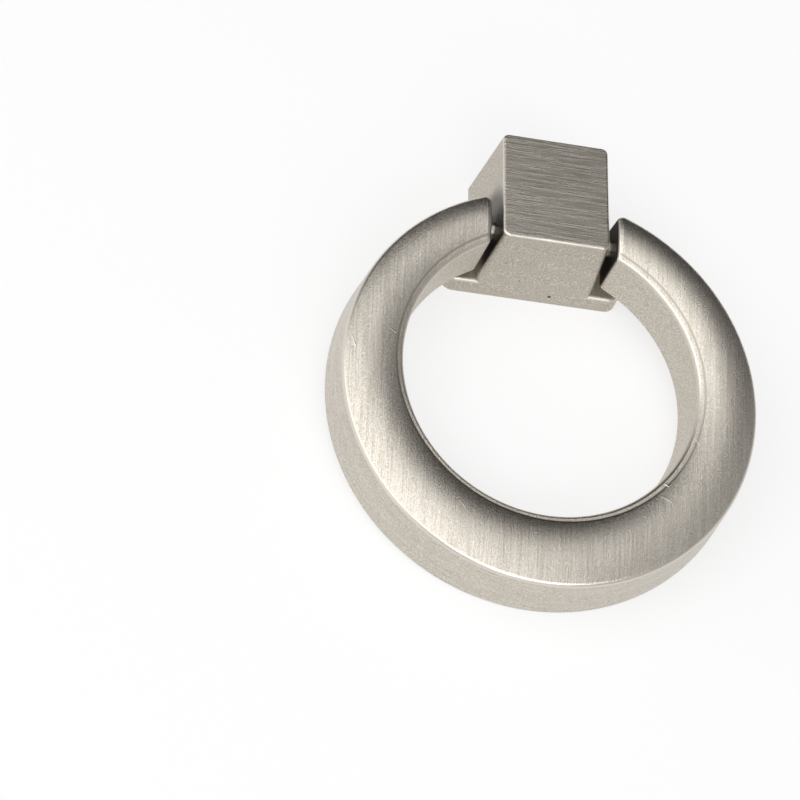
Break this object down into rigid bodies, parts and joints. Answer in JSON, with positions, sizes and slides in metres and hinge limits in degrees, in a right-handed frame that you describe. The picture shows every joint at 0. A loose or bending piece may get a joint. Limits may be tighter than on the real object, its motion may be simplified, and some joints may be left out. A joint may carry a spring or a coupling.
{
  "type": "ring pull handle",
  "caption": "Drawer or door ring pull: a small block on a T-shaped foot carries a heavy open ring that swings on a cross pin; a screw from behind holds it.",
  "frame": {"origin": "mouth of the screw hole, in the middle of the post's flat back", "axes": "+Z out of the furniture front, +Y up it, X along the hinge pin; the ring hangs towards -Y"},
  "size_m": [0.05, 0.0568, 0.0125],
  "materials": {
    "satin_nickel_post": "satin nickel plate, brushed on the front, fine blasted sides",
    "satin_nickel_ring": "satin nickel plate, brushed crown and outer wall",
    "pin_steel": "plain bright steel"
  },
  "bodies": {
    "post": {"post": "satin_nickel_post", "hinge_pin": "pin_steel"},
    "ring": {"ring": "satin_nickel_ring"}
  },
  "joints": [
    {"name": "ring_swing", "type": "hinge", "parent": "post", "child": "ring", "pos_m": [0, -0.00405, 0.0084], "axis": [-1, 0, 0], "range_deg": [0, 191]}
  ]
}
